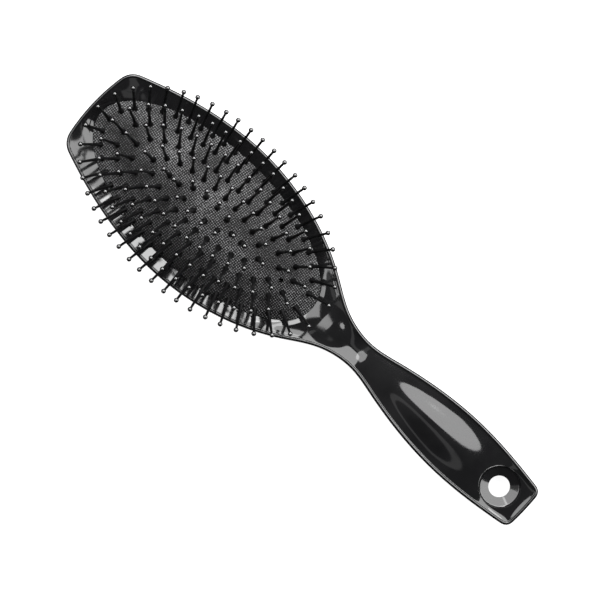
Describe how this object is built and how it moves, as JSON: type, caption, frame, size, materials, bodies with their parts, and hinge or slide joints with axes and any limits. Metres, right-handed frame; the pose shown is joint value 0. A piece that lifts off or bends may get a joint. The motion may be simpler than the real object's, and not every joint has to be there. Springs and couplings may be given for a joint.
{
  "type": "paddle brush",
  "caption": "Oval cushion hair brush: a hollow two-shell body and grip with a hang hole, an air-cushioned rubber pad, and rings of ball-tipped pins that press in.",
  "frame": {"origin": "on the surface that the brush's back rests on, at the middle of its length and width", "axes": "+X from the head towards the handle's end, +Z out of the face along the pins"},
  "size_m": [0.25, 0.0764, 0.0402],
  "materials": {
    "shell_gloss": "high gloss moulded",
    "frame_plastic": "matte moulded",
    "pad_rubber": "matte rubber with a fine woven emboss",
    "pin_nylon": "satin moulded"
  },
  "bodies": {
    "brush_body": {"front_shell": "shell_gloss", "back_shell": "shell_gloss", "pad_frame": "frame_plastic", "cushion_pad": "pad_rubber"},
    "pin_ring1": {"pins_ring1_right": "pin_nylon", "pins_ring1_left": "pin_nylon", "pins_ring1_centre": "pin_nylon"},
    "pin_ring2": {"pins_ring2_right": "pin_nylon", "pins_ring2_left": "pin_nylon", "pins_ring2_centre": "pin_nylon"},
    "pin_ring3": {"pins_ring3_right": "pin_nylon", "pins_ring3_left": "pin_nylon", "pins_ring3_centre": "pin_nylon"},
    "pin_ring4": {"pins_ring4_right": "pin_nylon", "pins_ring4_left": "pin_nylon", "pins_ring4_centre": "pin_nylon"},
    "pin_ring5": {"pins_ring5_right": "pin_nylon", "pins_ring5_left": "pin_nylon", "pins_ring5_centre": "pin_nylon"}
  },
  "joints": [
    {"name": "ring1_press", "type": "slide", "parent": "brush_body", "child": "pin_ring1", "axis": [0, 0, -1], "range_m": [0, 0.0033], "stiffness_N_per_m": 600, "deforming": ["cushion_pad"]},
    {"name": "ring2_press", "type": "slide", "parent": "brush_body", "child": "pin_ring2", "axis": [0, 0, -1], "range_m": [0, 0.00285], "stiffness_N_per_m": 600},
    {"name": "ring3_press", "type": "slide", "parent": "brush_body", "child": "pin_ring3", "axis": [0, 0, -1], "range_m": [0, 0.0022], "stiffness_N_per_m": 600},
    {"name": "ring4_press", "type": "slide", "parent": "brush_body", "child": "pin_ring4", "axis": [0, 0, -1], "range_m": [0, 0.00141], "stiffness_N_per_m": 600},
    {"name": "ring5_press", "type": "slide", "parent": "brush_body", "child": "pin_ring5", "axis": [0, 0, -1], "range_m": [0, 0.000469], "stiffness_N_per_m": 600}
  ],
  "couplings": [
    {"joint": "ring2_press", "follows": "ring1_press", "ratio": 0.858},
    {"joint": "ring3_press", "follows": "ring1_press", "ratio": 0.661},
    {"joint": "ring4_press", "follows": "ring1_press", "ratio": 0.42},
    {"joint": "ring5_press", "follows": "ring1_press", "ratio": 0.136}
  ]
}
